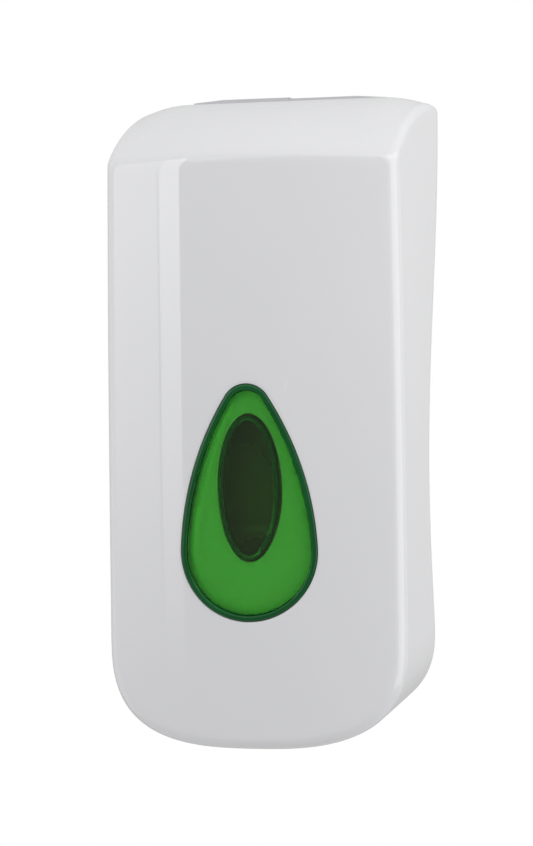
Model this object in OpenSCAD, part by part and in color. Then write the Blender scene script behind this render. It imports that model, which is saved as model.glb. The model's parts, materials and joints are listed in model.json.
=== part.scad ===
// Wall mounted liquid soap dispenser with a push cover.
// The whole front cover hangs from a hinge rod at the top. Pressing it swings the push frame
// behind it towards the wall, and the frame's pad drives the plunger of a horizontal pump.
// The cover also swings up on the same rod, away from the frame, for filling the reservoir.
// Millimetres, +Z up, the wall is the plane Y = 0 and the front faces -Y. The origin is the
// centre of the four wall screws. Heights named "_h" count from the bottom edge of the cover.

/* [Part] */
// Sub-part to draw, or all of them

/* [Cover] */
// Width of the cover at its rear edge
cover_w = 134;
// Width of the cover at the front corners
front_w = 132;
// Height of the cover
cover_top_h = 288;
// Distance from the wall to the front of the cover
cover_d = 112;
// Wall thickness of the cover
wall_t = 2.5; // [2.2:0.1:2.8]
// Radius of the bowed front
bow_r = 191.7;
// Rounding of the upright front edges
edge_r = 5; // [4:0.5:6]
// Height of the crease between the front and the sloping top
ridge_h = 253;
// Depth over which the top rises from the crease
slope_len = 100;
// Height of the rounded bottom corners
corner_h = 43;
// Gap between the wall and the cover's rear edge at the top
gap_top = 3;
// Gap between the wall and the cover's rear edge in the middle of the scoop
gap_mid = 36;
// Gap between the wall and the cover's rear edge at the bottom
gap_bottom = 20;
// Height at which the rear scoop is deepest
scoop_h = 113;

/* [Window] */
// Bottom of the teardrop window
window_h = 55.3;
// Height of the teardrop window
window_len = 102;
// Radius of the round lower end
window_r = 30.1;
// Radius of the narrow upper end
window_tip_r = 10.85;
// Radius of the bulging sides
window_side_r = 133;
// Width of the raised rim
rim_w = 2.7; // [2.2:0.1:3.2]
// Depth of the seat that the window sits in
seat_depth = 4;
// Width of the oval behind the window
oval_w = 26;
// Height of the oval behind the window
oval_len = 61.6;

/* [Hinge] */
// Distance of the hinge rod from the wall
hinge_y = 16;
// Height of the hinge rod
hinge_h = 282;
// Radius of the hinge rod
rod_r = 2;
// Radius of the bores that turn on the rod
running_r = 2.05;
// Half length of the backplate's barrel
barrel_half = 46;
// Radius of the left half of the barrel
barrel_r_left = 8;
// Radius of the right half of the barrel
barrel_r_right = 7.5;

/* [Wall screws] */
// Distance between the screw holes across
screw_dx = 70; // [64:2:74]
// Distance between the screw holes in height
screw_dz = 200; // [190:2:204]
// Radius of the screw holes
screw_hole_r = 2.6; // [2.2:0.1:3]
// Height of the centre of the screw pattern
screw_centre_h = 150;

/* [Pump] */
// Height of the pump's axis
pump_h = 41;
// Radius of the pump's bore
pump_bore_r = 11;
// Outer radius of the pump barrel
pump_r = 14;
// Radius of the plunger rod
plunger_rod_r = 5;
// Distance of the reservoir's outlet from the wall
outlet_y = 30;
// Distance of the nozzle's mouth from the wall
nozzle_y = 56;

/* [Reservoir] */
// Half width of the reservoir
tank_half = 44;
// Wall thickness of the reservoir
tank_t = 1.8; // [1.6:0.1:2.2]
// Distance of the filler neck from the wall
filler_y = 48;

/* [Hidden] */
$fn = 48;
bow_c = bow_r - cover_d;
lid_arm_in = 51;
lid_arm_out = 55;
frame_in = 46.5;
frame_out = 50.5;
bar_front = 98;
bar_back = 94;
bolt_h = 14;
bolt_y = 92;
white = [0.93, 0.93, 0.94];
grey = [0.72, 0.72, 0.75];
green = [0.22, 0.58, 0.2];
steel = [0.75, 0.76, 0.78];
rubber = [0.16, 0.16, 0.17];
natural = [0.82, 0.8, 0.74];

// Everything is drawn by its height above the cover's bottom edge, then lowered to the origin.
module placed() {
  translate([0, 0, -screw_centre_h]) children();
}

// Prism of a side view, given as [y, z], across the width from x0 to x1.
module side_prism(points, x0, x1) {
  translate([x0, 0, 0]) rotate([90, 0, 90]) linear_extrude(x1 - x0) polygon(points);
}

// Prism of a front view, given as [x, z], from y0 forward to y1, both counted from the wall.
module front_prism(points, y0, y1) {
  translate([0, -y0, 0]) rotate([90, 0, 0]) linear_extrude(y1 - y0) polygon(points);
}

// Cylinder across the width.
module rod_x(r, x0, x1, y, z) {
  translate([x0, y, z]) rotate([0, 90, 0]) cylinder(r = r, h = x1 - x0);
}

// Cylinder reaching forward from y0 to y1, both counted from the wall.
module rod_y(r, y0, y1, x, z) {
  translate([x, -y0, z]) rotate([90, 0, 0]) cylinder(r = r, h = y1 - y0);
}

module block(x0, x1, y0, y1, z0, z1) {
  translate([x0, -y1, z0]) cube([x1 - x0, y1 - y0, z1 - z0]);
}

module both_sides() {
  children();
  mirror([1, 0, 0]) children();
}

function mirrored(points) = [for (i = [len(points) - 1:-1:0]) [-points[i][0], points[i][1]]];

// ---- Cover shape -------------------------------------------------------------------------

foot_n = 2.6;
slope_a = 1.8;
slope_b = 1.25;
slope_steps = 16;
foot_steps = 14;

// Rise of the top at u from 0 (crease) to 1 (rear), from 0 to 1.
function rise(u) = pow(1 - pow(1 - u, slope_a), 1 / slope_b);

// Radial profile of the front and top about the bow's centre, moved inwards by t.
function shell_profile(t) = concat(
  [[bow_r - t, -10]],
  [for (i = [0:slope_steps])
    let (u = pow(i / slope_steps, 1.6))
    [bow_r - t - slope_len * u,
     ridge_h - 0.45 * t + (cover_top_h - ridge_h - 0.55 * t) * rise(u)]],
  [[60, cover_top_h - t], [60, -10]]
);

// Right half of the rounded foot, from its lowest point to the start of the straight side.
function foot_curve(half, low, rise_h) = [for (i = [0:foot_steps])
  let (a = 90 * i / foot_steps)
  [half * pow(sin(a), 2 / foot_n), low + rise_h * (1 - pow(cos(a), 2 / foot_n))]];

top_flat = 48;
top_corner_r = 5.2;
top_drop = 10;

// Right half of the front view, moved inwards by t.
function front_half(t) = concat(
  foot_curve(cover_w / 2 + 0.1 - t, t, corner_h - t),
  [for (a = [0:20:80])
    [cover_w / 2 + 0.1 - t - (top_corner_r - t * 0.6) * (1 - cos(a)),
     cover_top_h - 7.5 - t * 0.4 + (top_corner_r - t * 0.6) * sin(a)]],
  [[top_flat, cover_top_h + 0.1 - t]]
);

function front_outline(t) = concat(front_half(t), mirrored(front_half(t)));

function side_x(t, y) = front_w / 2 - t + (cover_w - front_w) / 2 * (cover_d - y) / cover_d;

// Plan of the side walls and the rounded upright edges. It passes in front of the bowed
// face, which the radial profile cuts.
function plan_half(t) =
  let (r = edge_r - t,
       xc = side_x(t, cover_d - 11) - r,
       yc = sqrt(pow(bow_r - t - r, 2) - xc * xc) - bow_c,
       a0 = asin(xc / (bow_r - t - r)),
       arc = [for (i = [0:5]) let (a = 90 - (90 - a0) * i / 5) [xc + r * sin(a), -yc - r * cos(a)]],
       tip = arc[5] + 0.7 * (arc[5] - arc[4]))
  concat([[side_x(t, -8), 8]], arc, [tip, [tip[0] - 6, -cover_d - 12]]);

function plan_outline(t) = concat(plan_half(t), mirrored(plan_half(t)));

// Distance from the wall to the cover's rear edge at height z.
function rear_gap(z) =
  z > cover_top_h - 8 ? gap_top
  : z > scoop_h
    ? gap_top + (gap_mid - gap_top) * (1 - cos(180 * (cover_top_h - 8 - z) / (cover_top_h - 8 - scoop_h))) / 2
    : gap_mid - (gap_mid - gap_bottom) * (1 - cos(180 * (scoop_h - z) / scoop_h)) / 2;

rear_steps = 36;
rear_edge = concat(
  [[-cover_d - 20, -12], [-gap_bottom, -12]],
  [for (i = [0:rear_steps]) let (z = cover_top_h * i / rear_steps) [-rear_gap(z), z]],
  [[-gap_top, cover_top_h + 12], [-cover_d - 20, cover_top_h + 12]]
);

module bowed(t) {
  translate([0, bow_c, 0]) rotate([0, 0, -135]) rotate_extrude(angle = 90) polygon(shell_profile(t));
}

module cover_body(t, rear) {
  intersection() {
    bowed(t);
    front_prism(front_outline(t), rear, cover_d + 15);
    translate([0, 0, -8]) linear_extrude(cover_top_h + 20) polygon(plan_outline(t));
  }
}

// Upright cylinder concentric with the bowed front, t behind its surface.
module bow_cylinder(t) {
  translate([0, bow_c, 20]) cylinder(r = bow_r - t, h = 180);
}

// ---- Window shape ------------------------------------------------------------------------

tear_low = window_h + window_r;
tear_high = window_h + window_len - window_tip_r;
tear_span = tear_high - tear_low;
tear_a = window_side_r - window_r;
tear_b = window_side_r - window_tip_r;
tear_cz = (tear_a * tear_a - tear_b * tear_b + tear_span * tear_span) / (2 * tear_span);
tear_cx = sqrt(tear_a * tear_a - tear_cz * tear_cz);
tear_a0 = asin(-tear_cz / tear_a);
tear_a1 = asin((tear_span - tear_cz) / tear_b);

// Right half of the teardrop, moved inwards by t: lower arc, side arc, upper arc.
function tear_half(t) = concat(
  [for (i = [0:9]) let (a = -90 + (90 + tear_a0) * i / 9)
    [(window_r - t) * cos(a), tear_low + (window_r - t) * sin(a)]],
  [for (i = [1:7]) let (a = tear_a0 + (tear_a1 - tear_a0) * i / 8)
    [(window_side_r - t) * cos(a) - tear_cx, tear_low + tear_cz + (window_side_r - t) * sin(a)]],
  [for (i = [0:7]) let (a = tear_a1 + (90 - tear_a1) * i / 7)
    [(window_tip_r - t) * cos(a), tear_high + (window_tip_r - t) * sin(a)]]
);

// The first and last points lie on the middle line and are used once.
function tear_outline(t) =
  let (h = tear_half(t), n = len(h))
  concat(h, [for (i = [n - 2:-1:1]) [-h[i][0], h[i][1]]]);

function oval_outline(t) = [for (a = [0:7.5:352.5])
  [(oval_w / 2 - t) * cos(a), oval_h + (oval_len / 2 - t) * sin(a)]];

oval_h = 112.6;
snap_x = 8.7;
snap_dz = 22.6;

module tear_prism(t, y0, y1) {
  front_prism(tear_outline(t), y0, y1);
}

module snap_posts(r, y0, y1) {
  for (sx = [-1, 1], sz = [-1, 1]) rod_y(r, y0, y1, sx * snap_x, oval_h + sz * snap_dz);
}

// ---- Cover body --------------------------------------------------------------------------

notch_half = lid_arm_in;
notch_front = 25.5;
slot_half = 14;
slot_front = 78;
guide_x = [13.5, 31];
guide_low = [1.2, 3.4];
guide_t = 3;

module seat_wall() {
  difference() {
    intersection() {
      tear_prism(-2.4, 70, cover_d + 5);
      bow_cylinder(1);
    }
    bow_cylinder(seat_depth + wall_t);
  }
}

module seat_cut() {
  difference() {
    tear_prism(-0.15, 90, cover_d + 10);
    bow_cylinder(seat_depth);
  }
  front_prism(oval_outline(-0.3), 70, cover_d);
  snap_posts(1.95, 70, cover_d);
}

module lid_ear() {
  rod_x(4.3, lid_arm_in, lid_arm_out, -hinge_y, hinge_h);
  block(lid_arm_in, lid_arm_out, 14, 20.2, hinge_h, hinge_h + 4.1);
  block(lid_arm_in, lid_arm_out, 17, 34, hinge_h - 2.5, hinge_h + 0.8);
}

module cover() {
  color(white) placed() difference() {
    union() {
      difference() {
        intersection() {
          cover_body(0, -8);
          side_prism(rear_edge, -80, 80);
        }
        cover_body(wall_t, -12);
      }
      seat_wall();
      both_sides() lid_ear();
      for (i = [0, 1])
        block(guide_x[i], guide_x[i] + guide_t, bolt_y - 5, bolt_y + 5, guide_low[i], bolt_h + 5);
    }
    seat_cut();
    block(-notch_half, notch_half, -10, notch_front, 270, 300);
    both_sides() rod_x(running_r, lid_arm_in - 1, lid_arm_out + 1, -hinge_y, hinge_h);
    block(-slot_half, slot_half, 0, slot_front, -5, 22);
    rod_x(running_r, 12, 36, -bolt_y, bolt_h);
    block(17.5, 28.5, bolt_y - 2.5, bolt_y + 2.5, -5, 8);
  }
}

module window_lens() {
  color(green) placed() {
    difference() {
      union() {
        intersection() {
          tear_prism(0.05, 80, cover_d + 5);
          bow_cylinder(0.5);
        }
        intersection() {
          difference() {
            tear_prism(0.05, 80, cover_d + 5);
            tear_prism(rim_w, 79, cover_d + 6);
          }
          bow_cylinder(-0.6);
        }
      }
      difference() {
        tear_prism(rim_w, 79, cover_d + 5);
        difference() {
          bow_cylinder(-2);
          bow_cylinder(2.6);
        }
      }
      bow_cylinder(seat_depth - 0.05);
    }
    difference() {
      intersection() {
        union() {
          front_prism(oval_outline(0), 95, cover_d);
          snap_posts(1.6, 95, cover_d);
        }
        bow_cylinder(2.5);
      }
      front_prism(oval_outline(1.7), 90, cover_d + 1);
      bow_cylinder(seat_depth + wall_t + 1.2);
    }
  }
}

module lock_slider() {
  color(grey) placed() {
    rod_x(2, 12.5, 37, -bolt_y, bolt_h);
    block(24, 28, bolt_y - 1.5, bolt_y + 1.5, 0.5, bolt_h);
  }
}

// ---- Wall unit ---------------------------------------------------------------------------

plate_half = 57.5;
plate_low = 14;
plate_shoulder_h = 263;
plate_top_half = 50.2;
plate_top_h = 287;

function plate_half_outline(t) = concat(
  foot_curve(plate_half - t, plate_low + t, 34 - t),
  [[plate_half - t, plate_shoulder_h - t],
   [plate_top_half - t, plate_shoulder_h + 5 - t],
   [plate_top_half - t, plate_top_h - 4 - t * 0.4],
   [plate_top_half - 4 - t * 0.4, plate_top_h - t],
   [10, plate_top_h - t]]
);

function plate_outline(t) = concat(plate_half_outline(t), mirrored(plate_half_outline(t)));

hook_x = [18, 30];
boss_x = 20;
clip_x = 43.6;

module tank_shelf() {
  block(26, 40, 2, 32, 68, 71);
  side_prism([[-2, 68.5], [-2, 46], [-5, 46], [-30, 68.5]], 31.5, 34.5);
}

module tank_hook() {
  block(hook_x[0], hook_x[1], 2, 7.5, 226, 228.5);
  block(hook_x[0], hook_x[1], 6, 7.5, 226, 233);
}

// Half of the hinge barrel, with a slight taper at its end.
module barrel_part(side, r) {
  translate([0, -hinge_y, hinge_h]) rotate([0, side * 90, 0]) {
    cylinder(r = r, h = barrel_half - 14);
    translate([0, 0, barrel_half - 14]) cylinder(r1 = r, r2 = r - 1.1, h = 14);
  }
}

module backplate() {
  color(grey) placed() difference() {
    union() {
      front_prism(plate_outline(0), 0, 3);
      difference() {
        front_prism(plate_outline(0), 0, 8);
        front_prism(plate_outline(2.2), -1, 9);
      }
      barrel_part(-1, barrel_r_left);
      barrel_part(1, barrel_r_right);
      block(-barrel_half, barrel_half, 1, 14, hinge_h - 6, hinge_h + 4);
      both_sides() tank_shelf();
      both_sides() tank_hook();
      both_sides() rod_y(5, 2, 12, boss_x, pump_h);
      for (sx = [-1, 1], sz = [-1, 1])
        rod_y(7, 2, 5, sx * screw_dx / 2, screw_centre_h + sz * screw_dz / 2);
    }
    for (sx = [-1, 1], sz = [-1, 1])
      rod_y(screw_hole_r, -1, 9, sx * screw_dx / 2, screw_centre_h + sz * screw_dz / 2);
    both_sides() rod_y(1.3, 4, 13, boss_x, pump_h);
    rod_x(rod_r + 0.02, -barrel_half - 1, barrel_half + 1, -hinge_y, hinge_h);
    for (x = [-38.5:11:38.5]) block(x - 4, x + 4, 5, 12, hinge_h - 12, hinge_h - 1);
    both_sides()
      block(clip_x - 0.2, clip_x + 1.1, hinge_y - 4.6, hinge_y + 10, hinge_h - 10, hinge_h + 4.4);
  }
}

rod_half = 55.3;

module hinge_rod() {
  color(steel) placed() difference() {
    rod_x(rod_r, -rod_half, rod_half, -hinge_y, hinge_h);
    both_sides() difference() {
      rod_x(rod_r + 1, clip_x - 0.05, clip_x + 0.95, -hinge_y, hinge_h);
      rod_x(1.5, clip_x - 1, clip_x + 2, -hinge_y, hinge_h);
    }
  }
}

// Two snap rings in slots of the barrel. Each is open at the front so that it can be
// pushed onto the rod.
module rod_clips() {
  color(steel) placed() both_sides() difference() {
    rod_x(4, clip_x, clip_x + 0.9, -hinge_y, hinge_h);
    rod_x(1.52, clip_x - 1, clip_x + 2, -hinge_y, hinge_h);
    block(clip_x - 1, clip_x + 2, hinge_y, hinge_y + 6, hinge_h - 1.2, hinge_h + 1.2);
  }
}

tank_low = 71;
tank_high = 256;
tank_back = 9;
tank_front = 90;
tank_r = 10;

function tank_side(t) = [
  [-tank_back - t, tank_low + t], [-tank_front + 13 + 0.6 * t, tank_low + t],
  [-tank_front + 4 + 0.7 * t, tank_low + 4 + t], [-tank_front + t, tank_low + 13 + t],
  [-tank_front + t, tank_high - 22], [-tank_front + 3 + t, tank_high - 13 - 0.3 * t],
  [-tank_front + 17 + t, tank_high - 1 - t], [-tank_front + 21, tank_high - t],
  [-tank_back - t, tank_high - t]
];

function round_rect(x0, x1, y0, y1, r) = [for (c = [[x1, y1, 0], [x0, y1, 90], [x0, y0, 180], [x1, y0, 270]])
  for (i = [0:8])
    let (a = c[2] + 90 * i / 8)
    [c[0] - (c[0] == x1 ? r : -r) + r * cos(a), c[1] - (c[1] == y1 ? r : -r) + r * sin(a)]];

module tank_shape(t) {
  intersection() {
    side_prism(tank_side(t), -60, 60);
    translate([0, 0, 60]) linear_extrude(210)
      polygon(round_rect(-tank_half + t, tank_half - t, -tank_front - 2 + t, -tank_back - t, tank_r - t));
  }
}

module tank_lug() {
  block(hook_x[0] + 1, hook_x[1] - 1, 3.6, 10, 234, 237);
  block(hook_x[0] + 1, hook_x[1] - 1, 3.6, 5.6, 229.5, 237);
}

module reservoir() {
  color(natural) placed() difference() {
    union() {
      tank_shape(0);
      translate([0, -filler_y, tank_high - 2]) cylinder(r = 17, h = 10.6);
      for (s = [-1, 1]) block(s * 16.3 - 1.4, s * 16.3 + 1.4, filler_y - 4, filler_y + 4, 259.8, 261.6);
      translate([0, -outlet_y, 62.6]) cylinder(r = 15, h = 11);
      both_sides() tank_lug();
    }
    tank_shape(tank_t);
    translate([0, -filler_y, tank_high - 5]) cylinder(r = 14.8, h = 20);
    translate([0, -outlet_y, 60]) cylinder(r = 12, h = 20);
  }
}

cap_low = 257;
cap_top = 269.5;
cap_r = 20;

module fill_cap() {
  color(grey) placed() translate([0, -filler_y, 0]) {
    difference() {
      union() {
        translate([0, 0, cap_low]) cylinder(r = cap_r - 0.5, h = cap_top - cap_low);
        for (i = [0:17]) rotate([0, 0, i * 20 + 10]) translate([cap_r - 1, 0, cap_low + 0.5])
          cylinder(r = 1, h = cap_top - cap_low - 1.5);
        translate([-16, -2.5, cap_top - 0.5]) cube([32, 5, 3.7]);
      }
      translate([0, 0, cap_low - 1]) cylinder(r = 17.35, h = 11);
      translate([0, 0, 259.4]) cylinder(r = 18.5, h = 2.7);
      for (a = [90, 270]) rotate([0, 0, a]) translate([14, -5.2, cap_low - 1]) cube([4.4, 10.4, 4]);
    }
  }
}

module cap_gasket() {
  color(rubber) placed() translate([0, -filler_y, 265]) difference() {
    cylinder(r = 17.1, h = 2);
    translate([0, 0, -1]) cylinder(r = 12.5, h = 4);
  }
}

module neck_collar() {
  color(grey) placed() translate([0, -outlet_y, 57]) difference() {
    union() {
      cylinder(r = 18.5, h = 12.6);
      for (i = [0:15]) rotate([0, 0, i * 22.5]) translate([18.3, 0, 1]) cylinder(r = 1, h = 10.6);
    }
    translate([0, 0, -1]) cylinder(r = 11.3, h = 14);
    translate([0, 0, 2.3]) cylinder(r = 15.15, h = 12);
  }
}

module neck_gasket() {
  color(rubber) placed() translate([0, -outlet_y, 61.6]) difference() {
    cylinder(r = 14.6, h = 1);
    translate([0, 0, -1]) cylinder(r = 8.4, h = 3);
  }
}

pump_back = 12;
pump_front = 64;
chamber_back = 16;
drop_y = 24;

module pump_body() {
  color(white) placed() difference() {
    union() {
      rod_y(pump_r, pump_back, pump_front, 0, pump_h);
      block(-26, 26, pump_back, pump_back + 3, pump_h - 9, pump_h + 9);
      translate([0, -outlet_y, pump_h + 8]) cylinder(r = 11, h = 12.6);
      translate([0, -outlet_y, 59.3]) cylinder(r = 14.2, h = 2.3);
      translate([0, -drop_y, 22.5]) cylinder(r = 8, h = 10);
    }
    rod_y(pump_bore_r, chamber_back, pump_front + 1, 0, pump_h);
    translate([0, -outlet_y, 58.5]) cylinder(r = 8, h = 5);
    translate([0, -outlet_y, 46]) cylinder(r = 7, h = 10.5);
    translate([0, -outlet_y, 50]) cylinder(r = 1.5, h = 12);
    for (a = [45:90:315]) translate([4.6 * cos(a), -outlet_y + 4.6 * sin(a), 55]) cylinder(r = 1.4, h = 5);
    translate([0, -drop_y, 26.8]) cylinder(r = 3, h = 8);
    translate([0, -drop_y, 21]) cylinder(r = 5.5, h = 5.8);
    both_sides() rod_y(1.9, pump_back - 1, pump_back + 5, boss_x, pump_h);
  }
}

module pump_screws() {
  color(steel) placed() both_sides() difference() {
    union() {
      rod_y(1.28, 5, pump_back + 3.5, boss_x, pump_h);
      rod_y(3.6, pump_back + 3, pump_back + 5.2, boss_x, pump_h);
    }
    block(boss_x - 0.4, boss_x + 0.4, pump_back + 4.2, pump_back + 6, pump_h - 2.4, pump_h + 2.4);
    block(boss_x - 2.4, boss_x + 2.4, pump_back + 4.2, pump_back + 6, pump_h - 0.4, pump_h + 0.4);
  }
}

// Umbrella valve under the inlet ports: soap runs in past its rim and cannot return.
module inlet_valve() {
  color(rubber) placed() translate([0, -outlet_y, 0]) rotate_extrude() polygon([
    [0, 55.2], [3.5, 55.3], [6.2, 56], [6.2, 56.4], [1.4, 56.5], [1.4, 58.6], [2.2, 58.7],
    [1.6, 60], [0, 60.4]
  ]);
}

module pump_end_cap() {
  color(grey) placed() difference() {
    union() {
      rod_y(pump_r, pump_front, pump_front + 4, 0, pump_h);
      rod_y(pump_bore_r - 0.05, pump_front - 10, pump_front + 1, 0, pump_h);
    }
    rod_y(plunger_rod_r + 0.06, pump_front - 12, pump_front + 6, 0, pump_h);
    rod_y(8.1, pump_front + 2.4, pump_front + 6, 0, pump_h);
    rod_y(8.8, pump_front - 12, pump_front - 2, 0, pump_h);
  }
}

module rod_wiper() {
  color(rubber) placed() difference() {
    rod_y(8.05, pump_front + 2.45, pump_front + 3.9, 0, pump_h);
    rod_y(plunger_rod_r + 0.06, pump_front, pump_front + 6, 0, pump_h);
  }
}

piston_back = 46;
piston_front = 53.4;
head_back = 84;
head_tip = 91.7;
dome_r = 13;

module plunger() {
  color(green) placed() difference() {
    union() {
      rod_y(10.6, piston_back, piston_front, 0, pump_h);
      rod_y(plunger_rod_r, piston_front - 1, head_back + 1, 0, pump_h);
      rod_y(9.6, head_back, head_back + 3, 0, pump_h);
      intersection() {
        translate([0, -head_tip + dome_r, pump_h]) sphere(r = dome_r);
        rod_y(9.2, head_back + 2, head_tip + 2, 0, pump_h);
      }
    }
    difference() {
      rod_y(12, piston_back + 2, piston_back + 5.4, 0, pump_h);
      rod_y(9.1, piston_back + 1, piston_back + 7, 0, pump_h);
    }
    rod_y(4.6, piston_back - 1, piston_back + 2, 0, pump_h);
  }
}

module plunger_seal() {
  color(rubber) placed() difference() {
    rod_y(pump_bore_r - 0.05, piston_back + 2.1, piston_back + 5.3, 0, pump_h);
    rod_y(9.15, piston_back, piston_back + 8, 0, pump_h);
  }
}

coil_r = 7.6;
wire_r = 0.6;
coil_turns = 7;
coil_seg = 24;
wire_seg = 8;
coil_steps = coil_turns * coil_seg;

function coil_ring(i) =
  let (a = 360 * i / coil_seg,
       y = chamber_back + wire_r + 0.05 + (piston_back - chamber_back - 2 * wire_r - 0.1) * i / coil_steps)
  [for (j = [0:wire_seg - 1])
    let (b = 360 * j / wire_seg, r = coil_r + wire_r * cos(b))
    [r * cos(a), -y - wire_r * sin(b), pump_h + r * sin(a)]];

function coil_points() = [for (i = [0:coil_steps]) each coil_ring(i)];

function coil_faces() = concat(
  [[for (j = [0:wire_seg - 1]) j]],
  [for (i = [0:coil_steps - 1]) for (j = [0:wire_seg - 1])
    let (k = (j + 1) % wire_seg, p = i * wire_seg, q = p + wire_seg)
    [p + j, q + j, q + k, p + k]],
  [[for (j = [wire_seg - 1:-1:0]) coil_steps * wire_seg + j]]
);

module pump_spring() {
  color(steel) placed() polyhedron(coil_points(), coil_faces(), convexity = 10);
}

// Duckbill valve: a flange held under the pump and a bill that opens downwards.
module outlet_valve() {
  color(rubber) placed() translate([0, -drop_y, 0]) difference() {
    union() {
      translate([0, 0, 25.1]) cylinder(r = 5.3, h = 1.6);
      translate([0, 0, 19]) cylinder(r1 = 1.1, r2 = 2.7, h = 6.2);
    }
    translate([0, 0, 20]) cylinder(r1 = 0.4, r2 = 1.9, h = 6.8);
    translate([-0.9, -0.15, 18.5]) cube([1.8, 0.3, 2.2]);
  }
}

elbow_h = 16;
spout_r = 5.3;
spout_bore = 3;

module spout_path(r, low) {
  translate([0, -drop_y, elbow_h]) sphere(r = r);
  rod_y(r, drop_y, nozzle_y, 0, elbow_h);
  translate([0, -nozzle_y, elbow_h]) sphere(r = r);
  translate([0, -nozzle_y, low]) cylinder(r = r, h = elbow_h - low);
}

module nozzle() {
  color(grey) placed() difference() {
    union() {
      spout_path(spout_r, 7);
      translate([0, -drop_y, elbow_h]) cylinder(r = spout_r, h = 25 - elbow_h);
      translate([0, -nozzle_y, 3]) cylinder(r1 = 4.2, r2 = spout_r, h = 4);
    }
    spout_path(spout_bore, 0);
    translate([0, -drop_y, elbow_h]) cylinder(r = spout_bore, h = 12);
    translate([0, -drop_y, 22.8]) difference() {
      cylinder(r = 7, h = 1.5);
      translate([0, 0, -1]) cylinder(r = 4.05, h = 4);
    }
  }
}

module nozzle_oring() {
  color(rubber) placed() translate([0, -drop_y, 23.55]) rotate_extrude()
    translate([4.77, 0]) circle(r = 0.7, $fn = 24);
}

// ---- Push frame --------------------------------------------------------------------------

arm_side = [
  [-20.4, 280.5], [-30, 262], [-34, 240], [-34, 84], [-42, 56], [-bar_front, 56],
  [-bar_front, 33], [-40, 33], [-25, 58], [-22, 80], [-22, 255], [-12.4, 278.5]
];
keeper_x = [8, 11];

module push_frame() {
  color(grey) placed() difference() {
    union() {
      both_sides() {
        side_prism(arm_side, frame_in, frame_out);
        rod_x(5, frame_in, frame_out, -hinge_y, hinge_h);
      }
      block(-frame_in - 1, frame_in + 1, bar_back, bar_front, 33, 52);
      block(-frame_in - 1, frame_in + 1, bar_back - 6, bar_back + 1, 50, 52);
      block(keeper_x[0], keeper_x[1], bolt_y - 5.5, bolt_y + 6, 9.6, 34);
      both_sides() side_prism([[-bar_back, 36], [-bar_back, 51], [-bar_back + 6, 51]], 24, 27);
    }
    both_sides() rod_x(running_r, frame_in - 1, frame_out + 1, -hinge_y, hinge_h);
    rod_x(2.5, keeper_x[0] - 1, keeper_x[1] + 1, -bolt_y, bolt_h);
    rod_y(3.05, bar_back - 1, bar_front + 1, 0, pump_h);
    both_sides() rod_y(2.05, bar_back - 1, bar_front + 1, 32, 43);
    block(-11, 11, bar_back - 7, bar_back, 49, 53);
    both_sides() side_prism([[-46, 51], [-86, 51], [-86, 38], [-52, 38]], frame_in - 1, frame_out + 1);
  }
}

module press_pad() {
  color(rubber) placed() {
    rod_y(8, bar_back - 2, bar_back, 0, pump_h);
    rod_y(3, bar_back - 0.5, bar_front + 1.2, 0, pump_h);
    rod_y(4.4, bar_front, bar_front + 1.6, 0, pump_h);
  }
}

// Two buffers between the push frame and the inside of the cover's front.
module cover_bumpers() {
  color(rubber) placed() both_sides() {
    rod_y(5, bar_front, bar_front + 7.6, 32, 43);
    rod_y(2, bar_back - 1, bar_front + 1, 32, 43);
    rod_y(3, bar_back - 2, bar_back, 32, 43);
  }
}

backplate();
hinge_rod();
rod_clips();
reservoir();
fill_cap();
cap_gasket();
neck_collar();
neck_gasket();
pump_body();
pump_screws();
inlet_valve();
pump_end_cap();
rod_wiper();
plunger();
plunger_seal();
pump_spring();
outlet_valve();
nozzle();
nozzle_oring();
push_frame();
press_pad();
cover_bumpers();
cover();
window_lens();
lock_slider();
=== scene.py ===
import json
import math

import bmesh
import bpy
import numpy as np
from mathutils import Matrix, Vector


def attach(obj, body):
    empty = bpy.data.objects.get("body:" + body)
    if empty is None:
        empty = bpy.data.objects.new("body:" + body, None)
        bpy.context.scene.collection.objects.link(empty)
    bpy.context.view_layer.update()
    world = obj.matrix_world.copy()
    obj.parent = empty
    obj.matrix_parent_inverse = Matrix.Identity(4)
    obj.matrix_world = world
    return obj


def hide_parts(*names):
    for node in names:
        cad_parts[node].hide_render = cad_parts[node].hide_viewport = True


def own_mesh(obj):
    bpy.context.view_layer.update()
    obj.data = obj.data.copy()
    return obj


# Wall mounted soap dispenser: the finished looks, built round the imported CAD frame.
# Shapes are worked out in millimetres, with heights counted from the bottom edge of the
# cover as in the CAD source, and are scaled to metres when a mesh is made.

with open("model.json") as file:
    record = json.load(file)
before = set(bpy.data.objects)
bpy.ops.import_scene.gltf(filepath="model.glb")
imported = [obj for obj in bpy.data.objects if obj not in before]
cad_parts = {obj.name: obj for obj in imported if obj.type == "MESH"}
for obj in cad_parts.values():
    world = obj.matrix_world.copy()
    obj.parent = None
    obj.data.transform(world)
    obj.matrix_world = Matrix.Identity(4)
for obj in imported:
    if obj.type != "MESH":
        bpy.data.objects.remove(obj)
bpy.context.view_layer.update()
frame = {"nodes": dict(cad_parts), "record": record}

MM = 0.001
SCREW_H = 150.0          # height of the frame's origin above the cover's bottom edge

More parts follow.
